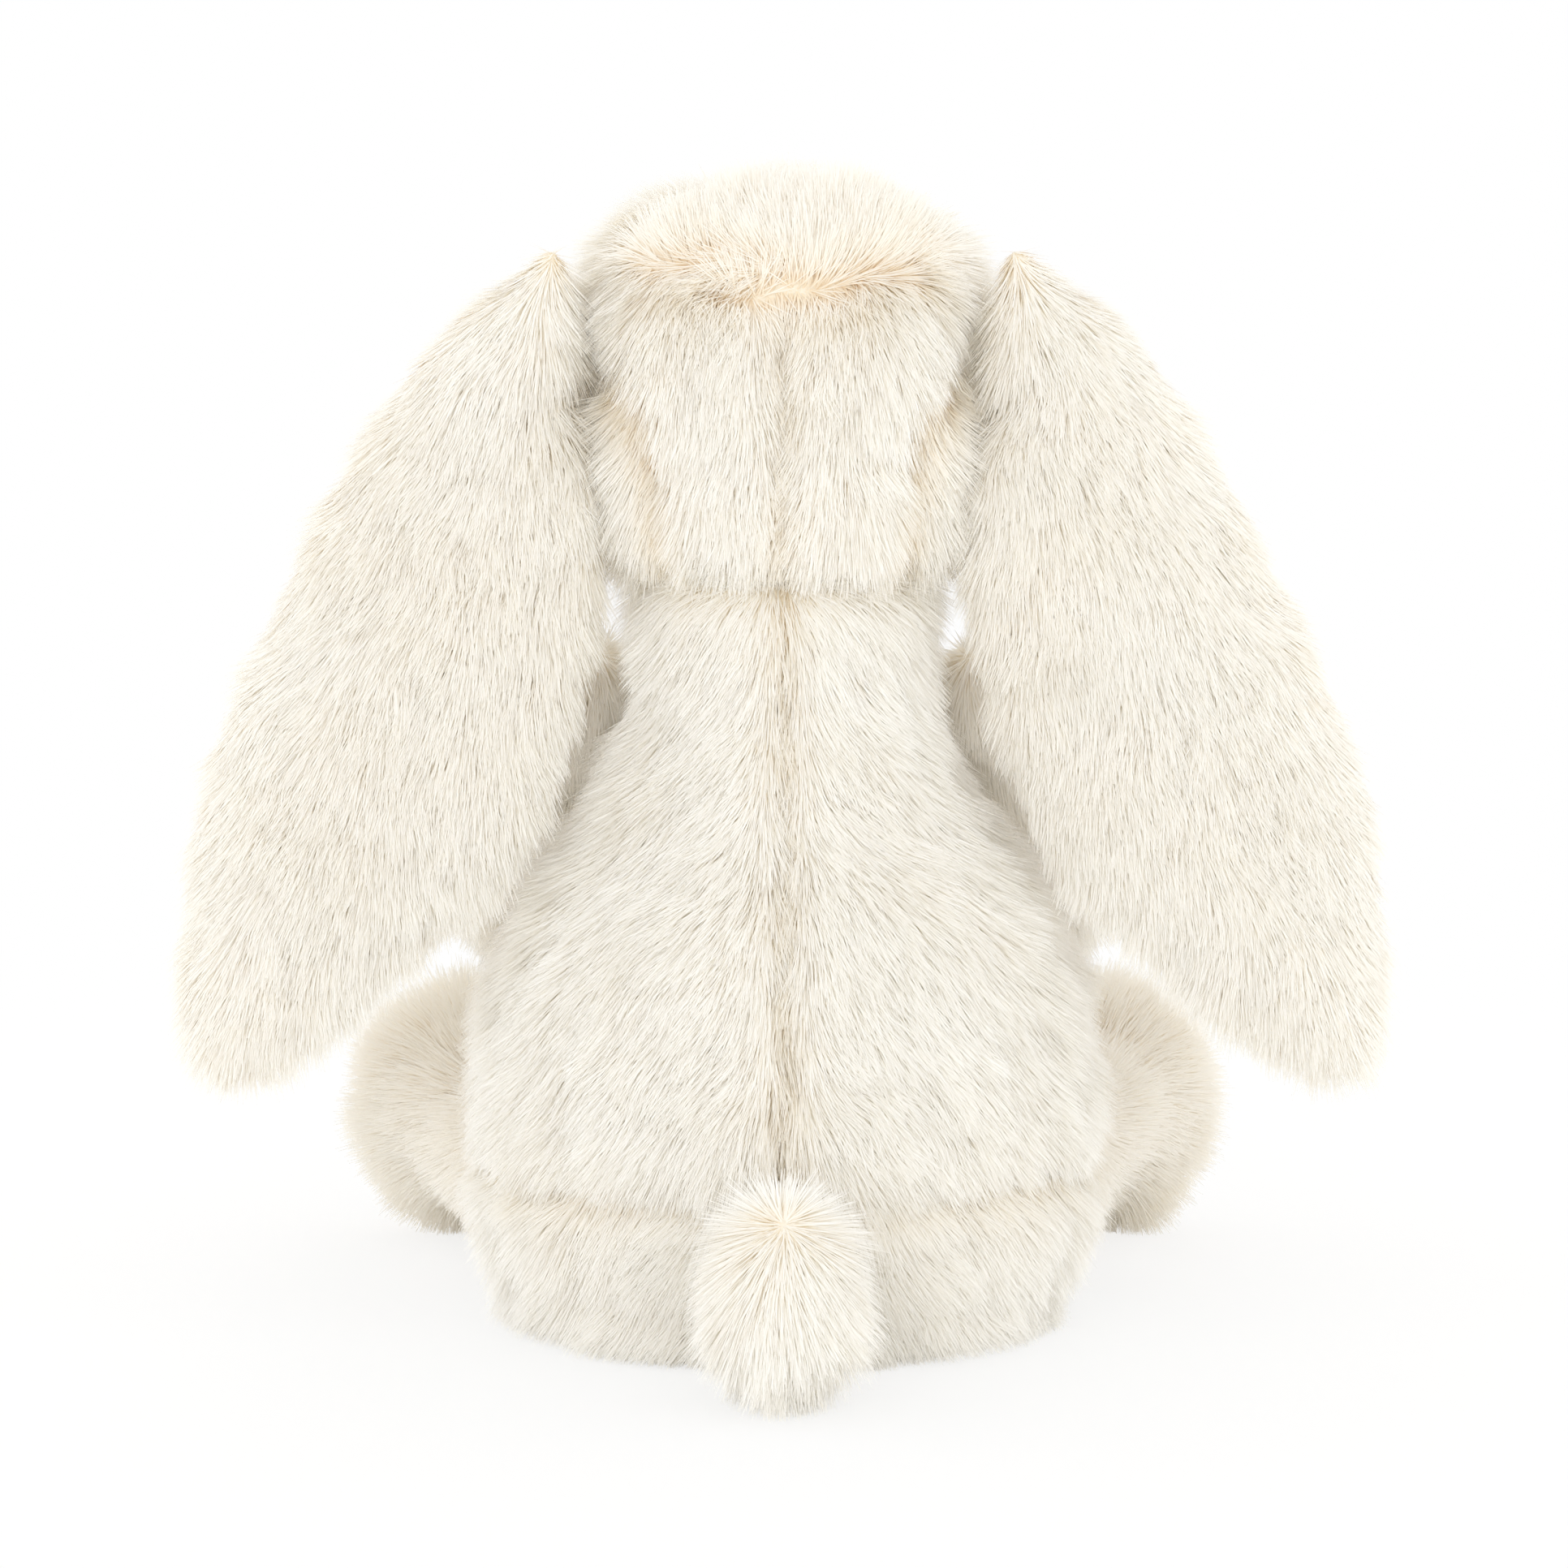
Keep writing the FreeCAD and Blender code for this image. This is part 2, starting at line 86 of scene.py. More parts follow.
class Wire:
    def __init__(self, net, socket, vector=False):
        self.net, self.socket, self.vector = net, socket, vector

    def mathOf(self, how, other=None, swapped=False):
        pair = (other, self) if swapped else (self, other)
        wide = [isinstance(p, tuple) or getattr(p, "vector", False) for p in pair]
        if not any(wide):
            values = {i: p for i, p in enumerate(pair) if p is not None}
            return self.net.get("ShaderNodeMath", {"operation": how}, values)
        if how == "MULTIPLY" and not all(wide):
            vector, scale = pair if wide[0] else pair[::-1]
            return self.net.get("ShaderNodeVectorMath", {"operation": "SCALE"},
                                {0: vector, "Scale": scale}, True)
        return self.net.vectorMath(how, *pair)

    def __add__(self, other):
        return self.mathOf("ADD", other)

    def __radd__(self, other):
        return self.mathOf("ADD", other, True)

    def __sub__(self, other):
        return self.mathOf("SUBTRACT", other)

    def __rsub__(self, other):
        return self.mathOf("SUBTRACT", other, True)

    def __mul__(self, other):
        return self.mathOf("MULTIPLY", other)

    def __rmul__(self, other):
        return self.mathOf("MULTIPLY", other, True)

    def __rtruediv__(self, other):
        return self.mathOf("DIVIDE", other, True)

    def __pow__(self, other):
        return self.mathOf("POWER", other)


class Net:
    def __init__(self, tree):
        self.tree = tree

    def add(self, kind, settings=None, values=None):
        node = self.tree.nodes.new(kind)
        for name, value in (settings or {}).items():
            setattr(node, name, value)
        for name, value in (values or {}).items():
            if isinstance(value, Wire):
                self.tree.links.new(value.socket, node.inputs[name])
            else:
                node.inputs[name].default_value = value
        return node

    def get(self, kind, settings=None, values=None, vector=False, out=0):
        return Wire(self, self.add(kind, settings, values).outputs[out], vector)

    def vectorMath(self, how, a, b=None):
        values = {0: a} if b is None else {0: a, 1: b}
        return self.get("ShaderNodeVectorMath", {"operation": how}, values, True)

    def mix(self, factor, a, b):
        values = {"Factor": factor, 6: a, 7: b}
        return self.get("ShaderNodeMix", {"data_type": "RGBA"}, values, True, 2)

    def noise(self, place, scale, detail=2.0, seedShift=(0.0, 0.0, 0.0)):
        moved = place + seedShift if any(seedShift) else place
        return self.add("ShaderNodeTexNoise", None, {"Vector": moved, "Scale": scale, "Detail": detail})


def linear(*colour):
    # a colour from 0 to 255 as the shaders take it
    shares = [value / 255 for value in colour]
    return tuple(((c + 0.055) / 1.055) ** 2.4 if c > 0.04 else c / 12.92 for c in shares) + (1.0,)


# materials

# painted shade: the root colours are darker and warmer than the tips, standing in for shade deep in the
# pile
plush = {
    "tip": linear(253, 252, 249), "warmTip": linear(250, 245, 234),
    "root": linear(252, 249, 241), "warmRootShade": linear(242, 224, 192),
    "rough": 0.92, "tipSmoother": 0.18, "sheen": 0.35, "sheenRough": 0.5, "shine": 0.25,
    "rootShadeEnd": 0.05, "paleStart": 0.62,
}


def newMaterial(name):
    material = bpy.data.materials.new(name)
    material.use_nodes = True
    net = Net(material.node_tree)
    shader = material.node_tree.nodes["Principled BSDF"]
    return material, net, shader


def setConstants(shader, **values):
    for name, value in values.items():
        shader.inputs[name.replace("_", " ")].default_value = value


def feed(net, wire, shader, name):
    net.tree.links.new(wire.socket, shader.inputs[name])


def furMaterial(name, tip, warmTip, root, warmRootShade):
    # colour runs along each fibre (v) and from cool to warm over the fibres (u); the darker, warmer roots
    # are painted shade deep in the pile
    material, net, shader = newMaterial(name)
    place = net.get("ShaderNodeUVMap", {"uv_map": "OFBake"}, None, True)
    parts = net.add("ShaderNodeSeparateXYZ", None, {0: place})
    warm, along = Wire(net, parts.outputs[0]), Wire(net, parts.outputs[1])
    rise = net.get("ShaderNodeMapRange", {"interpolation_type": "SMOOTHSTEP"},
                   {"Value": along, "From Min": plush["rootShadeEnd"], "From Max": plush["paleStart"]})
    tipColour = net.mix(warm, tip, warmTip)
    rootShadeColour = net.mix(warm, root, warmRootShade)
    feed(net, net.mix(rise, rootShadeColour, tipColour), shader, "Base Color")
    feed(net, plush["rough"] - along * plush["tipSmoother"], shader, "Roughness")
    setConstants(shader, Sheen_Weight=plush["sheen"], Sheen_Roughness=plush["sheenRough"],
                 Specular_IOR_Level=plush["shine"])
    return material


def backingMaterial(name, pale, warm, knit=900.0):
    # the knitted ground that the pile is rooted in
    material, net, shader = newMaterial(name)
    place = net.get("ShaderNodeTexCoord", None, None, True, 3)
    blotch = Wire(net, net.noise(place, 70.0, 3.0).outputs[0])
    stitch = Wire(net, net.noise(place, knit, 2.0).outputs[0])
    feed(net, net.mix(blotch * 0.7 + stitch * 0.3, pale, warm), shader, "Base Color")
    feed(net, 0.82 + stitch * 0.16, shader, "Roughness")
    bump = net.get("ShaderNodeBump", None, {"Height": stitch, "Strength": 0.5, "Distance": 0.0006}, True)
    feed(net, bump, shader, "Normal")
    setConstants(shader, Sheen_Weight=0.3, Sheen_Roughness=0.5)
    return material


def glossMaterial():
    # polished dark brown plastic with a faint swirl from moulding
    material, net, shader = newMaterial("eyeGloss")
    place = net.get("ShaderNodeTexCoord", None, None, True, 3)
    cloud = Wire(net, net.noise(place, 160.0, 3.0).outputs[0])
    feed(net, net.mix(cloud, linear(16, 10, 8), linear(38, 23, 15)), shader, "Base Color")
    feed(net, 0.05 + cloud * 0.07, shader, "Roughness")
    setConstants(shader, Coat_Weight=0.6, Coat_Roughness=0.04, IOR=1.5)
    return material


def threadMaterial(name, pale, deep, scale):
    # satin stitch: fine parallel threads
    material, net, shader = newMaterial(name)
    place = net.get("ShaderNodeTexCoord", None, None, True, 3)
    wave = net.get("ShaderNodeTexWave", {"wave_type": "BANDS", "bands_direction": "X"},
                   {"Vector": place, "Scale": scale, "Distortion": 1.2, "Detail": 2.0}, False, 1)
    cloud = Wire(net, net.noise(place, 300.0, 2.0).outputs[0])
    feed(net, net.mix(wave * 0.7 + cloud * 0.3, deep, pale), shader, "Base Color")
    feed(net, 0.55 - wave * 0.2, shader, "Roughness")
    bump = net.get("ShaderNodeBump", None, {"Height": wave, "Strength": 0.7, "Distance": 0.0004}, True)
    feed(net, bump, shader, "Normal")
    setConstants(shader, Sheen_Weight=0.2)
    return material


def plasticMaterial(name, pale, deep, rough):
    # small moulded parts inside the toy
    material, net, shader = newMaterial(name)
    place = net.get("ShaderNodeTexCoord", None, None, True, 3)
    cloud = Wire(net, net.noise(place, 220.0, 4.0).outputs[0])
    feed(net, net.mix(cloud, pale, deep), shader, "Base Color")
    feed(net, rough + cloud * 0.15, shader, "Roughness")
    bump = net.get("ShaderNodeBump", None, {"Height": cloud, "Strength": 0.2, "Distance": 0.0003}, True)
    feed(net, bump, shader, "Normal")
    return material


creamFur = furMaterial("creamPile", plush["tip"], plush["warmTip"], plush["root"], plush["warmRootShade"])
# the lining and sole piles also carry painted shade in their darker, warmer roots
liningFur = furMaterial("liningPile", linear(251, 247, 240), linear(247, 238, 226),
                        linear(247, 236, 220), linear(234, 214, 188))
soleFur = furMaterial("solePile", linear(248, 241, 229), linear(242, 230, 213),
                      linear(240, 227, 207), linear(226, 205, 177))
creamBacking = backingMaterial("creamBacking", linear(250, 244, 230), linear(238, 226, 202))
eyeGloss = glossMaterial()
noseThread = threadMaterial("noseThread", linear(196, 140, 128), linear(140, 88, 80), 260.0)
mouthThread = threadMaterial("mouthThread", linear(176, 122, 110), linear(122, 76, 70), 420.0)
washerPlastic = plasticMaterial("washerPlastic", linear(232, 232, 226), linear(214, 214, 206), 0.4)
pouchCloth = backingMaterial("pouchCloth", linear(236, 234, 226), linear(214, 210, 198), 1400.0)
pelletPlastic = plasticMaterial("pelletPlastic", linear(226, 228, 226), linear(190, 196, 196), 0.35)


# the pile: one tree plants tapered fibres on a skin and combs them

fibre = {
    "density": 6.7e6, "width": 0.00030, "seed": 11, "rise": 0.76, "lean": 0.94,
    "shortest": 0.80, "longer": 0.28, "drift": 75.0, "ripple": 260.0, "taper": 0.78,
    "tintSpread": 0.2, "floorGap": 0.0003, "quickShare": 0.35, "chance": 5,
}


def makeFurTree():
    tree = bpy.data.node_groups.new("plushPile", "GeometryNodeTree")
    inputs = (
        ("Skin", "NodeSocketGeometry", None), ("Cover", "NodeSocketString", "cover0"),
        ("Density", "NodeSocketFloat", fibre["density"]), ("Length", "NodeSocketFloat", 0.01),
        ("Width", "NodeSocketFloat", fibre["width"]), ("Rise", "NodeSocketFloat", fibre["rise"]),
        ("Lean", "NodeSocketFloat", fibre["lean"]), ("Clump Size", "NodeSocketFloat", 0.0042),
        ("Clump Pull", "NodeSocketFloat", 0.08), ("Wild", "NodeSocketFloat", 0.5),
        ("Drift", "NodeSocketFloat", 0.6), ("Droop", "NodeSocketFloat", 0.08),
        ("Tilt", "NodeSocketFloat", 0.15), ("Joints", "NodeSocketInt", 2),
        ("Seed", "NodeSocketInt", fibre["seed"]), ("Fibre", "NodeSocketMaterial", None),
    )
    for name, kind, value in inputs:
        socket = tree.interface.new_socket(name=name, in_out="INPUT", socket_type=kind)
        if value is not None:
            socket.default_value = value
    tree.interface.new_socket(name="Pile", in_out="OUTPUT", socket_type="NodeSocketGeometry")
    net = Net(tree)
    group = net.add("NodeGroupInput")
    want = {name: Wire(net, group.outputs[name]) for name, kind, value in inputs}

    def named(name, kind="FLOAT_VECTOR"):
        return net.get("GeometryNodeInputNamedAttribute", {"data_type": kind}, {"Name": name},
                       kind != "FLOAT")

    def store(shape, name, value, kind="FLOAT_VECTOR", domain="POINT"):
        return net.get("GeometryNodeStoreNamedAttribute", {"data_type": kind, "domain": domain},
                       {"Geometry": shape, "Name": name, "Value": value})

    cover = named(want["Cover"], "FLOAT")
    scatter = net.add("GeometryNodeDistributePointsOnFaces", {"distribute_method": "RANDOM"},
                      {"Mesh": want["Skin"], "Density": want["Density"] * cover, "Seed": want["Seed"]})
    roots = Wire(net, scatter.outputs["Points"])
    outward = Wire(net, scatter.outputs["Normal"], True)
    roots = store(roots, "outward", outward)
    roots = store(roots, "rootPlace", net.get("GeometryNodeInputPosition", None, None, True))
    for number, name in enumerate(("chanceA", "chanceB")):
        chance = net.get("FunctionNodeRandomValue", {"data_type": "FLOAT_VECTOR"},
                         {"Seed": fibre["chance"] + number}, True)
        roots = store(roots, name, chance)
    blade = net.get("GeometryNodeMeshGrid", None,
                    {"Size X": 2.0, "Size Y": 1.0, "Vertices X": 2, "Vertices Y": want["Joints"]})
    planted = net.get("GeometryNodeInstanceOnPoints", None, {"Points": roots, "Instance": blade})
    pile = net.get("GeometryNodeRealizeInstances", None, {"Geometry": planted})

    local = net.get("GeometryNodeInputPosition", None, None, True) - named("rootPlace")
    pile = store(pile, "local", local)
    parts = net.add("ShaderNodeSeparateXYZ", None, {0: named("local")})
    across, along = Wire(net, parts.outputs[0]), Wire(net, parts.outputs[1]) + 0.5

    def dice(name):
        split = net.add("ShaderNodeSeparateXYZ", None, {0: named(name)})
        return [Wire(net, socket) for socket in split.outputs]

    longer, tilted, tinted = dice("chanceA")
    swayA, swayB, swayC = dice("chanceB")
    root, up, comb = named("rootPlace"), named("outward"), named("comb")
    length = want["Length"] * named("pile", "FLOAT") * (fibre["shortest"] + longer * fibre["longer"])
    half = (0.5, 0.5, 0.5)
    drift = Wire(net, net.noise(root, fibre["drift"], 1.0).outputs[1], True) - half
    ripple = Wire(net, net.noise(root, fibre["ripple"], 1.0, (3.1, 1.7, 5.3)).outputs[1], True) - half
    sway = net.get("ShaderNodeCombineXYZ", None, {0: swayA - 0.5, 1: swayB - 0.5, 2: swayC - 0.5}, True)
    combed = net.vectorMath("NORMALIZE", comb + drift * (want["Drift"] * 2.2) + ripple * want["Drift"]
                            + sway * want["Wild"])
    cell = net.get("ShaderNodeTexVoronoi", None,
                   {"Vector": root + ripple * 0.004, "Scale": 1.0 / want["Clump Size"]}, True, 2)
    pull = cell - root
    bend = along * (0.35 + along * 0.65)
    stand = along * (1.0 - along * 0.35)
    place = (root + up * (length * want["Rise"] * stand) + combed * (length * want["Lean"] * bend)
             + pull * (want["Clump Pull"] * along ** 1.4)
             + (0.0, 0.0, -1.0) * (length * want["Droop"] * along * along))
    course = up * (want["Rise"] * (1.0 - along * 0.7)) + combed * (want["Lean"] * (0.35 + along * 1.3))
    beside = net.vectorMath("NORMALIZE", net.vectorMath("CROSS_PRODUCT", comb, up))
    facing = up + beside * ((tilted - 0.5) * 2.0 * want["Tilt"])
    sideways = net.vectorMath("NORMALIZE", net.vectorMath("CROSS_PRODUCT", course, facing))
    reach = want["Width"] * 0.5 * (1.0 - along * along * fibre["taper"])
    place = place + sideways * (across * reach)

    # no fibre goes below the floor
    spot = net.add("ShaderNodeSeparateXYZ", None, {0: place})
    wide, deep, high = [Wire(net, socket) for socket in spot.outputs]
    high = net.get("ShaderNodeMath", {"operation": "MAXIMUM"}, {0: high, 1: fibre["floorGap"]})
    place = net.get("ShaderNodeCombineXYZ", None, {0: wide, 1: deep, 2: high}, True)
    # the warmth layer holds each skin's own warm tone together with its painted shade
    tint = named("tint", "FLOAT") + (tinted - 0.5) * fibre["tintSpread"]
    warm = net.get("ShaderNodeClamp", None, {"Value": tint, "Min": 0.03, "Max": 0.97})
    sheet = net.get("ShaderNodeCombineXYZ", None, {0: warm + across * 0.02, 1: along * 0.96 + 0.02}, True)
    pile = store(pile, "OFBake", sheet, "FLOAT2", "CORNER")
    pile = net.get("GeometryNodeSetPosition", None, {"Geometry": pile, "Position": place})
    pile = net.get("GeometryNodeSetShadeSmooth", None, {"Geometry": pile})
    for name in ("local", "outward", "rootPlace", "chanceA", "chanceB", "comb", "pile", "tint",
                 "cover0", "cover1", "cover2", "cover3"):
        pile = net.get("GeometryNodeRemoveAttribute", None, {"Geometry": pile, "Name": name})
    pile = net.get("GeometryNodeSetMaterial", None, {"Geometry": pile, "Material": want["Fibre"]})
    end = net.add("NodeGroupOutput")
    tree.links.new(pile.socket, end.inputs[0])
    return tree


furTree = makeFurTree()
inputIds = {item.name: item.identifier for item in furTree.interface.items_tree if item.in_out == "INPUT"}


def linked(name, mesh):
    piece = bpy.data.objects.new(name, mesh)
    bpy.context.scene.collection.objects.link(piece)
    return piece


def baked(piece):
    # the evaluated shape as a plain mesh
    graph = bpy.context.evaluated_depsgraph_get()
    return bpy.data.meshes.new_from_object(piece.evaluated_get(graph), depsgraph=graph)


def growPile(name, skin, body, material, length, cover="cover0"):
    thin = 1.0
    source = linked(name + "Source", skin.data.copy())
    modifier = source.modifiers.new("pile", "NODES")
    modifier.node_group = furTree
    modifier[inputIds["Cover"]] = cover
    modifier[inputIds["Fibre"]] = material
    modifier[inputIds["Length"]] = length * mm
    modifier[inputIds["Density"]] = fibre["density"] * thin
    modifier[inputIds["Width"]] = fibre["width"] / math.sqrt(thin)
    mesh = baked(source)
    bpy.data.objects.remove(source)
    mesh.name = name
    pile = linked(name, mesh)
    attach(pile, body)
    print(name, len(mesh.polygons) * 2, "triangles")


# skins: the outside of each stuffed piece, drawn in by the depth of its pile

skinGrain = {"voxel": 0.0026, "smooth": 5, "weld": 1e-6, "panelFill": 0.8, "flapFill": 0.4}


def closedSkin(name, nodes, voxel=skinGrain["voxel"], smooth=skinGrain["smooth"]):
    shell = bmesh.new()
    for node in nodes:
        shell.from_mesh(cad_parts[node].data)
    bmesh.ops.remove_doubles(shell, verts=shell.verts, dist=skinGrain["weld"])
    mesh = bpy.data.meshes.new(name)
    shell.to_mesh(mesh)
    shell.free()
    rough = linked(name + "Rough", mesh)
    remesh = rough.modifiers.new("remesh", "REMESH")
    remesh.mode, remesh.voxel_size = "VOXEL", voxel
    even = outerShell(baked(rough))
    bpy.data.objects.remove(rough)
    relax(even, smooth)
    return even


def edgePairs(mesh):
    pairs = np.zeros(len(mesh.edges) * 2, np.int64)
    mesh.edges.foreach_get("vertices", pairs)
    return pairs.reshape(-1, 2)


def outerShell(mesh):
    # keeps only the island that holds the most points
    edges = edgePairs(mesh)
    label = np.arange(len(mesh.vertices))
    while True:
        low = np.minimum(label[edges[:, 0]], label[edges[:, 1]])
        fresh = label.copy()
        np.minimum.at(fresh, edges[:, 0], low)
        np.minimum.at(fresh, edges[:, 1], low)
        fresh = fresh[fresh]
        if (fresh == label).all():
            break
        label = fresh
    names, counts = np.unique(label, return_counts=True)
    keep = label == names[counts.argmax()]
    shell = bmesh.new()
    shell.from_mesh(mesh)
    shell.verts.ensure_lookup_table()
    lost = [shell.verts[i] for i in np.flatnonzero(~keep)]
    bmesh.ops.delete(shell, geom=lost, context="VERTS")
    shell.to_mesh(mesh)
    shell.free()
    return mesh


def points(mesh):
    place = np.zeros(len(mesh.vertices) * 3, np.float64)
    mesh.vertices.foreach_get("co", place)
    return place.reshape(-1, 3)


def setPoints(mesh, place):
    mesh.vertices.foreach_set("co", place.astype(np.float32).ravel())
    mesh.update()


def normals(mesh):
    found = np.zeros(len(mesh.vertices) * 3, np.float32)
    mesh.vertex_normals.foreach_get("vector", found)
    return found.reshape(-1, 3).astype(np.float64)


def relax(mesh, rounds, share=0.5):
    # moves each point toward the middle of its neighbours
    edges = edgePairs(mesh)
    place = points(mesh)
    count = np.bincount(edges.ravel(), minlength=len(place))[:, None]
    for _ in range(rounds):
        total = np.zeros_like(place)
        np.add.at(total, edges[:, 0], place[edges[:, 1]])
        np.add.at(total, edges[:, 1], place[edges[:, 0]])
        place += (total / np.maximum(count, 1) - place) * share
    setPoints(mesh, place)


def unit(rows):
    return rows / np.maximum(np.linalg.norm(rows, axis=1, keepdims=True), 1e-9)


def flat(flow, up):
    # a flow laid along the surface, with a little downward where it vanishes
    laid = flow - up * (flow * up).sum(1, keepdims=True)
    weak = np.linalg.norm(laid, axis=1, keepdims=True) < 0.12
    down = np.array([0.06, 0.04, -0.2])
    laid = np.where(weak, laid + down - up * (up @ down)[:, None], laid)
    return unit(laid)


def bell(value, width):
    return np.exp(-(value / width) ** 2)


def ramp(value, none, full):
    # 0 at the first place, 1 at the second
    return np.clip((value - none) / (full - none), 0, 1)


def mirrored(place, sign):
    return np.array(place) * [sign, 1, 1]


def lumps(place, seed, size):
    # soft unevenness of the stuffing from a few fixed waves
    dice = np.random.default_rng(seed)
    total = np.zeros(len(place))
    for _ in range(7):
        way = dice.normal(size=3)
        way *= 2 * math.pi / (size * dice.uniform(0.7, 1.6)) / np.linalg.norm(way)
        total += np.sin(place @ way + dice.uniform(0, 6.28))
    return total / 4.0


def dress(mesh, pile, comb, tint, covers):
    # what the pile tree reads: length share, warmth (own tone and painted shade), which pile grows where,
    # and the way it is combed
    layers = {"pile": pile, "tint": tint}
    layers.update({"cover%d" % number: cover for number, cover in enumerate(covers)})
    for name, values in layers.items():
        layer = mesh.attributes.new(name, "FLOAT", "POINT")
        layer.data.foreach_set("value", values.astype(np.float32))
    layer = mesh.attributes.new("comb", "FLOAT_VECTOR", "POINT")
    layer.data.foreach_set("vector", comb.astype(np.float32).ravel())


def finishSkin(name, mesh, body, nodes):
    mesh.materials.clear()
    mesh.materials.append(creamBacking)
    mesh.shade_smooth()
    skin = linked(name, mesh)
    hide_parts(*nodes)
    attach(skin, body)
    return skin


def sideNames(names, side):
    return [name + "_" + side for name in names]


# torso

torsoFur = {
    "length": 8.6, "inset": 0.49, "seamPull": 2.8, "seamWide": 2.8, "seamWave": 1.4,
    "panelSeam": 34.0, "panelPull": 3.0, "collarLift": 6.5,
    "waist": ((70, 85, 100, 122, 135), (0, 2.0, 3.2, 3.4, 1.0)),
}


def makeTorso():
    nodes = ["torso_back_left", "torso_back_right", "torso_belly", "torso_seat", "torso_stuffing"]
    mesh = closedSkin("torsoSkin", nodes + ["bean_pouch"])
    place, up = points(mesh) / mm, normals(mesh)
    x, y, z = place.T
    back = ramp(y, -6, 6)
    pile = np.clip(0.25 + (z - 1.0) / 9, 0.25, 1.0)
    # the pile parts at the middle of the back and turns outward under the seat
    parting = np.sign(x) * (0.30 * bell(x, 38) + 0.14) * ramp(np.abs(x), 0, 5) * back
    flow = np.stack([parting + 0.25 * x / 50, -0.15 * (1 - back) - 0.1 * back, -np.ones(len(x))], 1)
    under = np.clip(-up[:, 2] * 1.5 - 0.4, 0, 1)[:, None]
    flow = flow * (1 - under) + unit(place * [1, 1, 0]) * under
    # a wavy centre seam, and the seam of the seat panel
    middle = x - torsoFur["seamWave"] * lumps(place, 31, 9)
    seam = bell(middle, torsoFur["seamWide"]) * back * ramp(z, 18, 28) * ramp(z, 142, 130)
    panel = bell(z - torsoFur["panelSeam"], 3.0) * back * ramp(np.abs(x), 8, 16)
    # painted shade: the centre seam and the seat-panel seam carry warmer, darker pile where their grooves
    # hold shade
    tint = 0.12 + 0.06 * lumps(place, 3, 34) + 0.33 * seam + 0.35 * panel
    depth = torsoFur["length"] * torsoFur["inset"] * pile - 0.7 * lumps(place, 4, 30)
    depth += torsoFur["seamPull"] * seam + torsoFur["panelPull"] * panel
    # the seat stays flat, the waist is drawn in and the collar reaches up into the head
    depth *= 0.3 + 0.7 * ramp(z, 2, 12) * (1 - 0.9 * ramp(z, 126, 138))
    waist = np.interp(z, *torsoFur["waist"]) * ramp(y, -14, -2)
    narrow = np.clip(x / 10, -3, 3) * ramp(z, 116, 134) + waist * np.clip(x / 25, -1, 1)
    lift = torsoFur["collarLift"] * ramp(z, 128, 140) * np.clip((y + 12) / 14, 0.4, 1)
    setPoints(mesh, (place - up * depth[:, None] + np.stack([-narrow, 0 * x, lift], 1)) * mm)
    relax(mesh, 1)
    left, rear = [ramp(points(mesh)[:, axis] / mm, -3, 3) for axis in (0, 1)]
    covers = [left * rear, (1 - left) * rear, left * (1 - rear), (1 - left) * (1 - rear)]
    dress(mesh, pile, flat(flow, normals(mesh)), tint, covers)
    skin = finishSkin("torsoSkin", mesh, "torso", nodes)
    for number, name in enumerate(("BackLeft", "BackRight", "FrontLeft", "FrontRight")):
        growPile("torsoPile" + name, skin, "torso", creamFur, torsoFur["length"],
                 "cover%d" % number)


# neck

neckFur = {"length": 7.0, "share": 0.8, "tint": 0.25, "middle": 146.0, "reach": 15.2}


def makeNeck():
    mesh = closedSkin("neckSkin", ["neck_stuffing"])
    place, up = points(mesh) / mm, normals(mesh)
    flow = place * [0.02, 0.02, 0] - [0, 0, 1]
    every = np.ones(len(place))
    band = (np.abs(place[:, 2] - neckFur["middle"]) < neckFur["reach"]) * 1.0
    dress(mesh, neckFur["share"] * every, flat(flow, up), neckFur["tint"] * every, [band])
    skin = finishSkin("neckSkin", mesh, "neck", ["neck_stuffing"])
    growPile("neckPile", skin, "neck", creamFur, neckFur["length"])


# head

headFur = {
    "length": 8.4, "inset": 0.49, "crown": (0.0, 2.0, 221.0), "crownHalf": 22.0,
    "nose": (0.0, -50.0, 172.0), "noseWide": 17.0, "eye": (29.0, -36.0, 184.0), "eyeWide": 11.0,
    "seamPull": 4.0, "seamWide": 2.8, "dartPull": 4.4, "dartWide": 2.6,
    "dartFoot": 21.5, "dartHeight": 152.0, "dartLean": 0.25,
    "ruffle": 203.5, "ruffleWide": 4.2, "ruffleWave": 3.5, "ruffleSag": 0.004,
    "socket": (38.0, 8.0, 189.5), "socketFill": (24, 19, 70), "socketBlend": (27, 19, 14),
    "temple": (3.6, 2.0, 0.0), "templeWide": 15.0, "flankOut": 5.0, "flankAside": 31.0, "flankWide": 9.0,
    "rimPull": 4.0, "rimDrop": 1.5,
    "wider": ((152, 170, 185, 196, 204, 214), (0, 1.5, 2.5, 4.0, 6.0, 3.5)),
}


def relaxSocket(mesh, socket, none, full, rounds):
    relax(mesh, rounds, 0.5 * ramp(socket, none, full)[:, None])


def headFlow(place, up, face):
    # the pile runs down from the crown, and away from the nose on the face
    x = place[:, 0]
    fromCrown = place - headFur["crown"]
    fromCrown[:, 0] = x - np.clip(x, -headFur["crownHalf"], headFur["crownHalf"])
    far = np.linalg.norm(fromCrown, axis=1)
    radial = flat(fromCrown, up)
    swirl = np.cross(up, radial) * (0.25 * bell(far, 26))[:, None]
    down = np.stack([0.012 * x, 0 * x, -0.9 * np.ones(len(x))], 1) * ramp(far, 0, 50)[:, None]
    flow = radial * (0.4 + 0.6 * bell(far, 40))[:, None] + swirl + down
    muzzle = unit(place - headFur["nose"]) + [0, 0, -0.35]
    return flow * (1 - face)[:, None] + muzzle * face[:, None]


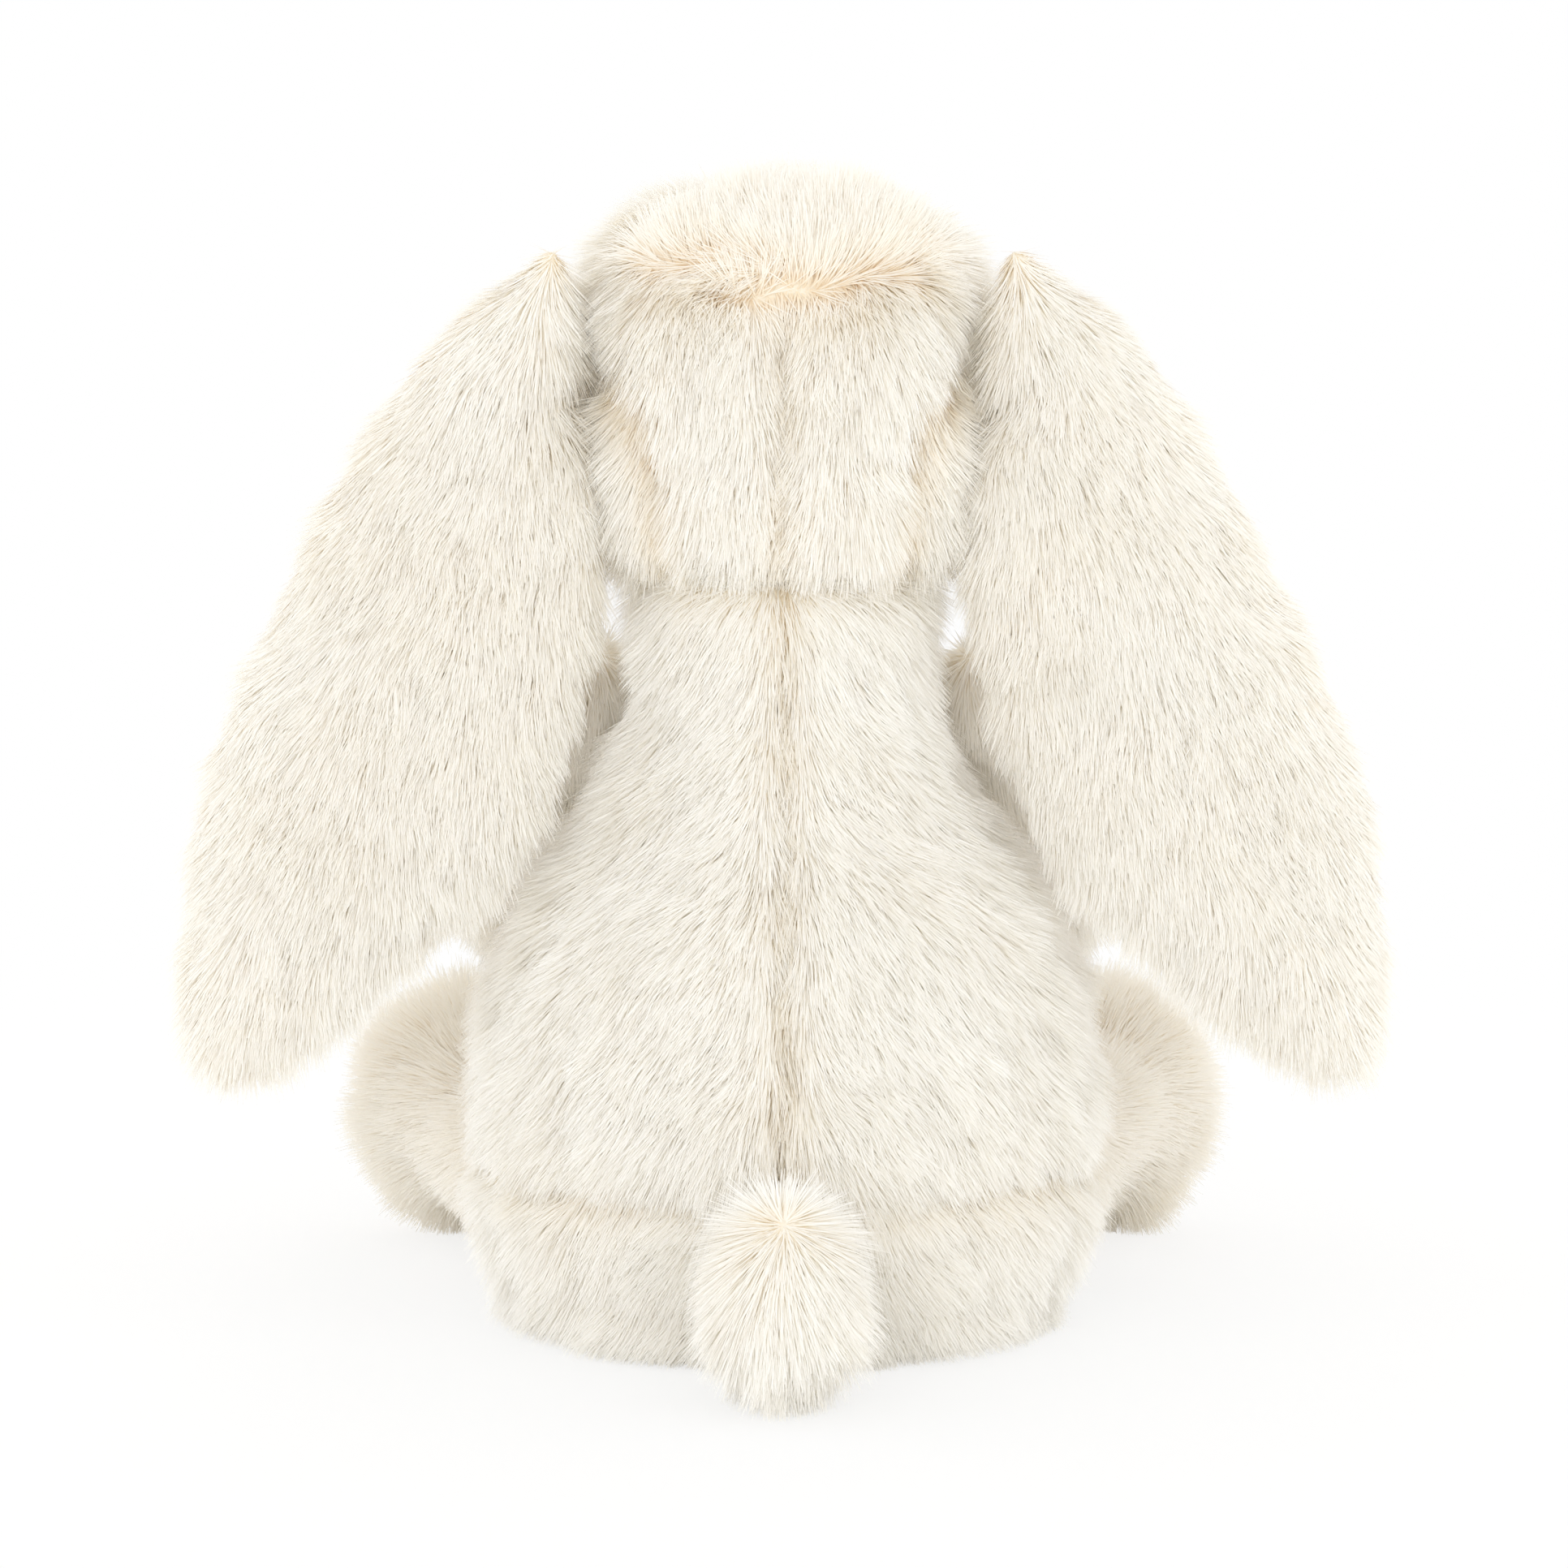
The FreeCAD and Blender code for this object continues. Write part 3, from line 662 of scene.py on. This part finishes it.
def makeHead():
    nodes = ["head_back_left", "head_back_right", "head_cheek_left", "head_cheek_right", "head_face",
             "head_stuffing"]
    mesh = closedSkin("headSkin", nodes)
    # the hollow that holds each ear root is closed over
    oneSide = points(mesh) / mm
    oneSide[:, 0] = np.abs(oneSide[:, 0])
    socket = np.linalg.norm(oneSide - headFur["socket"], axis=1)
    relaxSocket(mesh, socket, *headFur["socketFill"])
    place, up = points(mesh) / mm, normals(mesh)
    x, y, z = place.T
    back = ramp(y, -4, 8)
    face = ramp(y, -14, -36) * ramp(z, 212, 190)
    # short pile round the nose and the eyes
    fromNose = np.linalg.norm(place - headFur["nose"], axis=1)
    pile = (1 - 0.45 * face) * (1 - 0.55 * bell(fromNose, headFur["noseWide"]))
    for sign in (1, -1):
        fromEye = np.linalg.norm(place - mirrored(headFur["eye"], sign), axis=1)
        pile *= 1 - 0.55 * bell(fromEye, headFur["eyeWide"])
    # centre seam, two darts, and a ruffle where the pile parts below the crown
    seam = bell(x, headFur["seamWide"]) * back * ramp(z, 208, 194)
    dartLine = headFur["dartFoot"] + headFur["dartLean"] * (z - headFur["dartHeight"])
    dart = bell(np.abs(x) - dartLine, headFur["dartWide"]) * back * ramp(z, 194, 184)
    wavy = z + headFur["ruffleWave"] * lumps(place, 21, 15) - headFur["ruffleSag"] * x * x
    ruffle = bell(wavy - headFur["ruffle"], headFur["ruffleWide"]) * back * ramp(np.abs(x), 27, 19)
    lift = (ramp(wavy, 202, 206) * back)[:, None]
    upward = x[:, None] * [0.006, 0, 0] + [0.0, -0.8, 0.5]
    flow = headFlow(place, up, face) * (1 - lift) + upward * lift
    # painted shade: the combed-up pile above the ruffle is darker, and the seam, darts and ruffle carry
    # warmer, darker pile where their grooves hold shade
    tint = 0.19 + 0.06 * lumps(place, 5, 30) + 0.16 * lift[:, 0]
    tint += 0.5 * seam + 0.9 * dart + 0.42 * ruffle
    # the temples are filled out to meet the ears
    temple = np.stack([np.sign(x), 1 + 0 * x, 0 * x], 1) * bell(socket, headFur["templeWide"])[:, None]
    place += temple * headFur["temple"]
    x, y, z = place.T
    aside = np.abs(x)
    depth = headFur["length"] * headFur["inset"] * pile - 0.5 * lumps(place, 6, 28)
    depth += headFur["seamPull"] * seam + headFur["dartPull"] * dart
    pile *= 1 - 0.35 * np.clip(seam + dart, 0, 1)
    # the rim over the neck keeps its size at the back and is drawn in at the front and sides
    depth *= 1 - 0.85 * ramp(z, 170, 156) * (1 - face)
    depth += ruffle + headFur["rimPull"] * ramp(z, 170, 154) * ramp(y, 8, -8) * ramp(aside, 12, 26)
    wider = np.interp(z, *headFur["wider"]) * np.clip(x / 28, -1, 1) * ramp(y, -30, -14)
    flank = bell(aside - headFur["flankAside"], headFur["flankWide"]) * ramp(y, -16, -2)
    flank *= headFur["flankOut"] * ramp(z, 158, 182) * ramp(z, 212, 202)
    push = np.stack([wider, flank, -headFur["rimDrop"] * ramp(z, 162, 153)], 1)
    setPoints(mesh, (place - up * depth[:, None] + push) * mm)
    relaxSocket(mesh, socket, *headFur["socketBlend"])
    relax(mesh, 1)
    rear = ramp(points(mesh)[:, 1] / mm, -3, 3)
    dress(mesh, pile, flat(flow, normals(mesh)), tint, [rear, 1 - rear])
    skin = finishSkin("headSkin", mesh, "head", nodes)
    growPile("headPileBack", skin, "head", creamFur, headFur["length"])
    growPile("headPileFace", skin, "head", creamFur, headFur["length"], "cover1")


# ears: edge is how far out the inner edge hangs at each height; the other lists go by the fall
# below the root

earFur = {
    "length": 8.4, "inset": 0.20, "lining": 0.6, "voxel": 0.0024, "smooth": 4,
    "along": (0.30, 0.07, -1.0), "root": 189.5, "slice": 3.0, "leastWidth": 5.0,
    "rootLift": 2.5, "tipLift": 5.0, "spread": 4.2, "fan": 0.35,
    "edge": ((50, 66, 78, 90, 107, 130, 147, 162, 205), (98, 78, 66, 52.5, 44, 38, 35, 35.5, 41)),
    "middle": ((0, 12, 30, 60, 92, 142), (37.6, 51, 59.7, 68, 77.3, 102.6)),
    "half": ((0, 12, 30, 60, 92, 142), (4, 12, 21, 27.5, 28, 5)),
    "trim": ((10, 25, 35), (3.0, 1.5, 0.0)),
}


def hangEar(place, fall, sign):
    # lays the ear between its inner edge and an outer edge that swings out toward the tip
    high = place[:, 2] + earFur["rootLift"] * ramp(fall, 22, 2) + earFur["tipLift"] * ramp(fall, 105, 141)
    aside = np.abs(place[:, 0])
    levels = np.arange(high.min(), high.max() + 1, earFur["slice"])
    slices = [aside[np.abs(high - level) < earFur["slice"]] for level in levels]
    near = np.interp(high, levels, [part.min() for part in slices])
    far = np.interp(high, levels, [part.max() for part in slices])
    share = (aside - near) / np.maximum(far - near, 2.0)
    wantNear = np.interp(high, *earFur["edge"])
    wantFar = far - np.interp(fall, *earFur["trim"]) + earFur["spread"] * ramp(fall, 45, 90)
    wantFar = np.maximum(wantFar, wantNear + earFur["leastWidth"])
    hung = sign * (wantNear + share * (wantFar - wantNear))
    deep = place[:, 1] + 4.5 * bell(high - 160, 16) * np.clip(1 - share * 2.2, 0, 1)
    return np.stack([hung, deep, high], 1)


def makeEar(side):
    sign = 1 if side == "left" else -1
    label, body = side.title(), "ear_" + side
    nodes = sideNames(["ear_back", "ear_lining", "ear_root", "ear_wadding"], side)
    mesh = closedSkin("earSkin" + label, nodes, earFur["voxel"], earFur["smooth"])
    place, up = points(mesh) / mm, normals(mesh)
    x, fall = place[:, 0], earFur["root"] - place[:, 2]
    middle, half = sign * np.interp(fall, *earFur["middle"]), np.interp(fall, *earFur["half"])
    out = np.clip(sign * (x - middle) / half, -1.2, 1.2)
    flow = mirrored(earFur["along"], sign) + out[:, None] * [sign * earFur["fan"], 0, 0]
    front = np.clip(0.5 - up[:, 1] * 1.2, 0, 1)
    pile = 1 - (1 - earFur["lining"]) * front
    tint = 0.20 + 0.06 * lumps(place, 7, 32) + 0.10 * front - 0.08 * bell(fall + 4, 14)
    depth = earFur["length"] * earFur["inset"] * pile - 0.4 * lumps(place, 8, 26)
    depth += 2.0 * np.clip(-out, 0, 1) * ramp(fall, 70, 100)
    setPoints(mesh, hangEar(place - up * depth[:, None], fall, sign) * mm)
    relax(mesh, 2)
    lining = (normals(mesh)[:, 1] < -0.35) * 1.0
    dress(mesh, pile, flat(flow, normals(mesh)), tint, [1 - lining, lining])
    skin = finishSkin("earSkin" + label, mesh, body, nodes)
    growPile("earPile" + label, skin, body, creamFur, earFur["length"])
    growPile("earLining" + label, skin, body, liningFur, earFur["length"], "cover1")


# arms

armFur = {
    "length": 7.6, "inset": 0.44, "along": (15.1, -33.0, -42.5), "paw": (50.7, -48.5, 77.0),
    "shift": (1.8, 1.0, 0.0),
}


def makeArm(side):
    sign = 1 if side == "left" else -1
    label, body = side.title(), "arm_" + side
    nodes = sideNames(["arm_outer", "arm_inner", "arm_stuffing"], side)
    mesh = closedSkin("armSkin" + label, nodes)
    place, up = points(mesh) / mm, normals(mesh)
    along = unit(mirrored(armFur["along"], sign)[None])[0]
    flow = along + 0.15 * up * [1, 1, 0] + [0, 0, -0.2]
    pile = np.ones(len(place))
    # painted shade: the paw under the ear is given warmer, darker pile
    fromPaw = np.linalg.norm(place - mirrored(armFur["paw"], sign), axis=1)
    tint = 0.12 + 0.07 * lumps(place, 9, 26) + 0.1 * bell(fromPaw, 14)
    depth = armFur["length"] * armFur["inset"] * pile - 0.4 * lumps(place, 10, 22)
    setPoints(mesh, (place - up * depth[:, None] + mirrored(armFur["shift"], sign)) * mm)
    relax(mesh, 1)
    dress(mesh, pile, flat(flow, normals(mesh)), tint, [np.ones(len(place))])
    skin = finishSkin("armSkin" + label, mesh, body, nodes)
    growPile("armPile" + label, skin, body, creamFur, armFur["length"])


# legs and feet

legFur = {
    "length": 8.4, "inset": 0.51, "sole": 0.35, "hip": (45.3, -39.4, 21.0), "foot": (64.8, -77.7, 28.7),
    "soleWay": (0.454, -0.891, 0.0), "lower": 4.5,
}


def makeLeg(side):
    sign = 1 if side == "left" else -1
    label, body = side.title(), "leg_" + side
    nodes = sideNames(["leg_outer", "leg_inner", "foot_sole", "leg_stuffing"], side)
    mesh = closedSkin("legSkin" + label, nodes)
    place, up = points(mesh) / mm, normals(mesh)
    z = place[:, 2]
    hip, foot = mirrored(legFur["hip"], sign), mirrored(legFur["foot"], sign)
    along = unit((foot - hip)[None])[0]
    reach = (place - hip) @ along
    heel = place - (hip + 0.3 * (foot - hip))
    flow = unit(heel) * 0.6 + along * 0.5 + [0, 0, -0.35]
    sole = np.clip((up @ mirrored(legFur["soleWay"], sign) - 0.75) * 6, 0, 1) * ramp(reach, 35, 43)
    pile = (1 - (1 - legFur["sole"]) * sole) * np.clip(0.35 + (z - 0.5) / 8, 0.35, 1)
    # painted shade: the legs carry warmer, darker pile than the torso where they sit in shade
    tint = 0.42 + 0.07 * lumps(place, 12, 28) + 0.2 * sole
    depth = legFur["length"] * legFur["inset"] * pile - 0.4 * lumps(place, 13, 24)
    place[:, 2] -= legFur["lower"] * ramp(z, 34, 54)
    setPoints(mesh, (place - up * depth[:, None]) * mm)
    relax(mesh, 1)
    dress(mesh, pile, flat(flow, normals(mesh)), tint, [1 - sole, sole])
    skin = finishSkin("legSkin" + label, mesh, body, nodes)
    growPile("legPile" + label, skin, body, creamFur, legFur["length"])
    growPile("solePile" + label, skin, body, soleFur, legFur["length"], "cover1")


# tail

tailFur = {"length": 10.0, "inset": 0.58, "whorl": (0.0, 80.0, 42.0)}


def makeTail():
    nodes = ["tail_half_left", "tail_half_right", "tail_stuffing"]
    mesh = closedSkin("tailSkin", nodes)
    place, up = points(mesh) / mm, normals(mesh)
    flow = flat(place - tailFur["whorl"], up) + [0, 0, -0.6]
    pile = np.clip(0.4 + place[:, 2] / 12, 0.4, 1)
    tint = 0.14 + 0.08 * lumps(place, 14, 24)
    depth = tailFur["length"] * tailFur["inset"] * pile - 0.4 * lumps(place, 15, 20)
    setPoints(mesh, (place - up * depth[:, None]) * mm)
    relax(mesh, 1)
    dress(mesh, pile, flat(flow, normals(mesh)), tint, [np.ones(len(place))])
    skin = finishSkin("tailSkin", mesh, "tail", nodes)
    growPile("tailPile", skin, "tail", creamFur, tailFur["length"])


makeTorso()
makeNeck()
makeHead()
for side in ("left", "right"):
    makeEar(side)
    makeArm(side)
    makeLeg(side)
makeTail()
print("plush pieces made")


# the hard parts keep their frame shapes

def finishNode(node, material):
    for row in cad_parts[node].material_slots:
        row.material = material


for side in ("left", "right"):
    finishNode("eye_" + side, eyeGloss)
    finishNode("eye_washer_" + side, washerPlastic)
finishNode("nose", noseThread)
finishNode("mouth", mouthThread)
finishNode("bean_pouch", pouchCloth)
finishNode("bean_pellets", pelletPlastic)


# floor and surroundings

floor = {"half": 6.0, "glowNear": 0.10, "glowFar": 0.42, "leastGlow": 0.75}


def makeFloor():
    size = floor["half"]
    mesh = bpy.data.meshes.new("floor")
    corners = [(-size, -size, 0), (size, -size, 0), (size, size, 0), (-size, size, 0)]
    mesh.from_pydata(corners, [], [(0, 1, 2, 3)])
    material, net, shader = newMaterial("paleFloor")
    setConstants(shader, Roughness=0.9, Specular_IOR_Level=0.1)
    place = net.get("ShaderNodeTexCoord", None, None, True, 3)
    cloud = Wire(net, net.noise(place, 2.0, 2.0).outputs[0])
    feed(net, net.mix(cloud, linear(252, 252, 251), linear(248, 248, 247)), shader, "Base Color")
    rays = net.add("ShaderNodeLightPath")
    seen = Wire(net, rays.outputs["Is Camera Ray"]) + Wire(net, rays.outputs["Is Glossy Ray"])
    far = net.get("ShaderNodeVectorMath", {"operation": "LENGTH"}, {0: place}, False, 1)
    share = net.get("ShaderNodeMapRange", {"interpolation_type": "SMOOTHSTEP"},
                    {"Value": far, "From Min": floor["glowNear"], "From Max": floor["glowFar"],
                     "To Min": floor["leastGlow"], "To Max": 1.0})
    glow = net.get("ShaderNodeEmission", None, {"Color": (1, 1, 1, 1), "Strength": 1.0})
    both = net.get("ShaderNodeMixShader", None, {0: seen * share, 1: Wire(net, shader.outputs[0]), 2: glow})
    end = material.node_tree.nodes["Material Output"]
    material.node_tree.links.new(both.socket, end.inputs[0])
    mesh.materials.append(material)
    linked("floor", mesh)


def makeSky():
    world = bpy.data.worlds.new("studio")
    world.use_nodes = True
    bpy.context.scene.world = world
    net = Net(world.node_tree)
    dim = world.node_tree.nodes["Background"]
    dim.inputs["Color"].default_value = light["skyColour"]
    dim.inputs["Strength"].default_value = light["sky"]
    bright = net.get("ShaderNodeBackground", None, {"Color": (1, 1, 1, 1), "Strength": 1.0})
    rays = net.add("ShaderNodeLightPath")
    seen = (Wire(net, rays.outputs["Is Camera Ray"]) + Wire(net, rays.outputs["Is Glossy Ray"])
            + Wire(net, rays.outputs["Is Transmission Ray"]))
    both = net.get("ShaderNodeMixShader", None, {0: seen, 1: Wire(net, dim.outputs[0]), 2: bright})
    world.node_tree.links.new(both.socket, world.node_tree.nodes["World Output"].inputs[0])


makeFloor()
makeSky()
# light passes many times between pale fibres
bpy.context.scene.cycles.diffuse_bounces = 16
bpy.context.scene.cycles.max_bounces = 20
